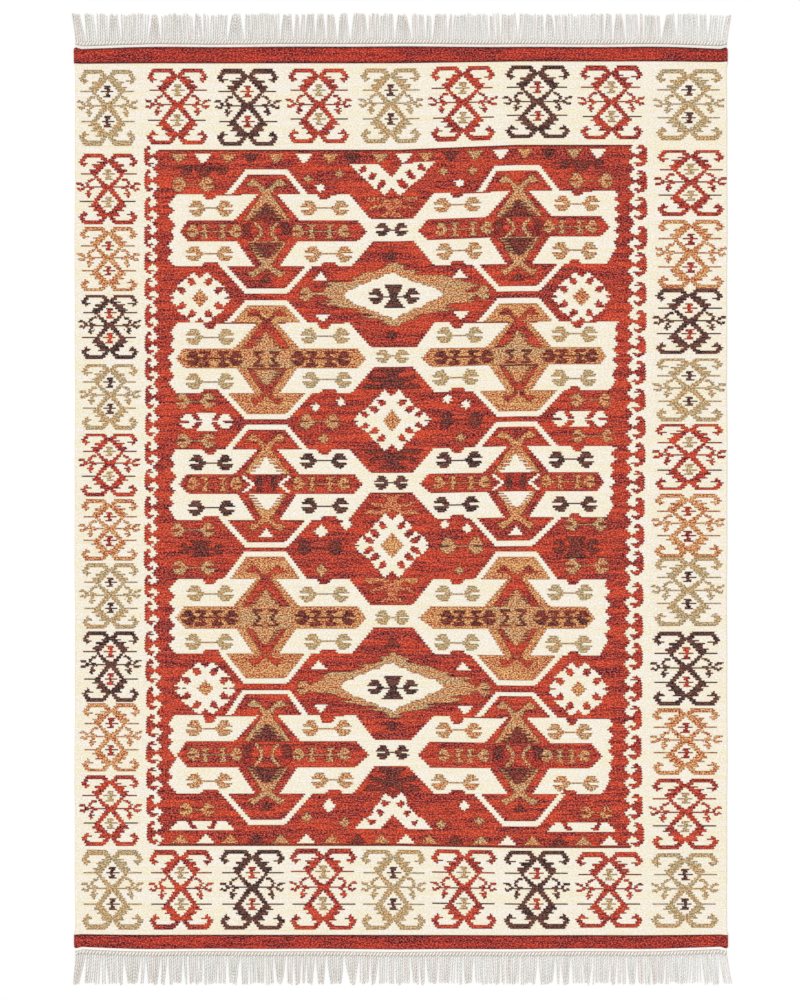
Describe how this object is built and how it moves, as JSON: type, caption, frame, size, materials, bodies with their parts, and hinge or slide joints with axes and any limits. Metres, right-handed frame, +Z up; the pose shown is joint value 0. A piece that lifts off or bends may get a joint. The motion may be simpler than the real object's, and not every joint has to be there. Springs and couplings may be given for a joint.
{
  "type": "kilim rug",
  "caption": "Flat-woven wool kilim rug: hooked medallions in a bordered field, with knotted warp-end fringes along both short ends.",
  "frame": {"origin": "centre of the rug's underside, on the floor", "axes": "+X across the rug between its selvedges, +Y along it towards the far fringe, +Z up"},
  "size_m": [1.723, 2.533, 0.0034],
  "materials": {
    "wool_weave": "matte flat-woven wool, brick red with cream, ochre, tan and dark brown",
    "cotton_fringe": "matte undyed cotton cord"
  },
  "bodies": {
    "root": {"rug_cloth": "wool_weave", "fringe_far": "cotton_fringe", "fringe_near": "cotton_fringe"}
  },
  "joints": []
}
